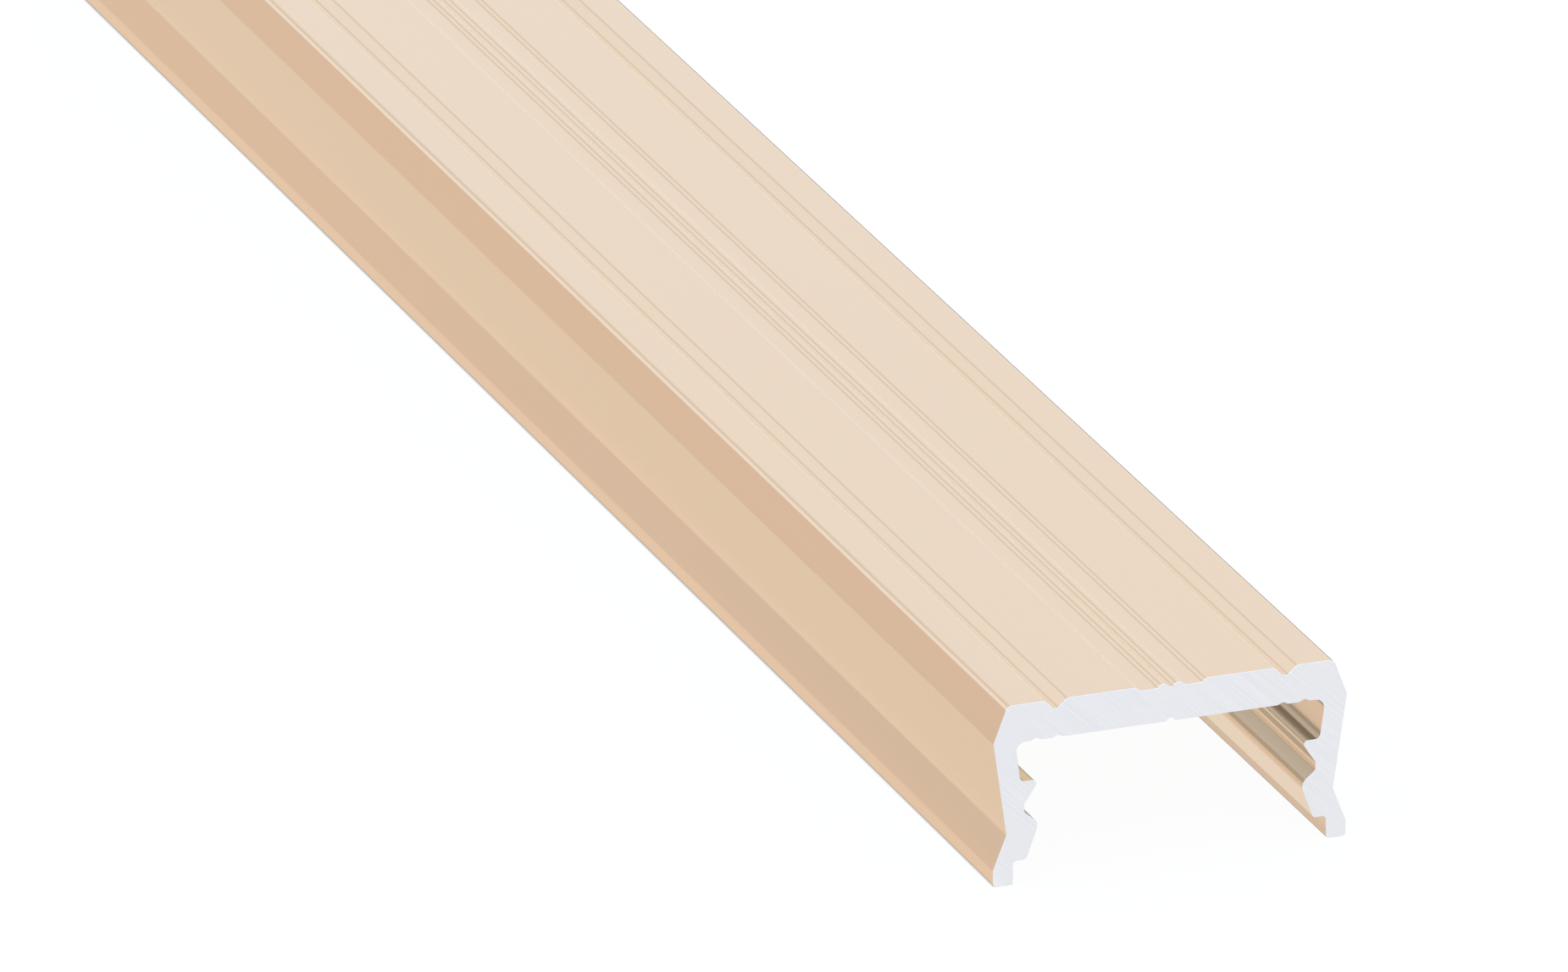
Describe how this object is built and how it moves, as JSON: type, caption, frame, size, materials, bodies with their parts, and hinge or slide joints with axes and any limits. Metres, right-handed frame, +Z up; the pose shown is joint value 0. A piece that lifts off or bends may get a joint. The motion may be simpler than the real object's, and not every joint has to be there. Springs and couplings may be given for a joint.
{
  "type": "aluminium extrusion profile",
  "caption": "Straight open channel of anodised aluminium with waisted walls, snap-in ribs inside and a flat grooved back, sawn square at the ends.",
  "frame": {"origin": "middle of the length and width, on the floor that the lips stand on", "axes": "+X across the section, +Y along the bar, +Z up from the open side to the back"},
  "size_m": [0.016, 1, 0.0081],
  "materials": {
    "anodised_aluminium": "satin champagne anodising, bare metal on the sawn ends"
  },
  "bodies": {
    "root": {"channel_profile": "anodised_aluminium"}
  },
  "joints": []
}
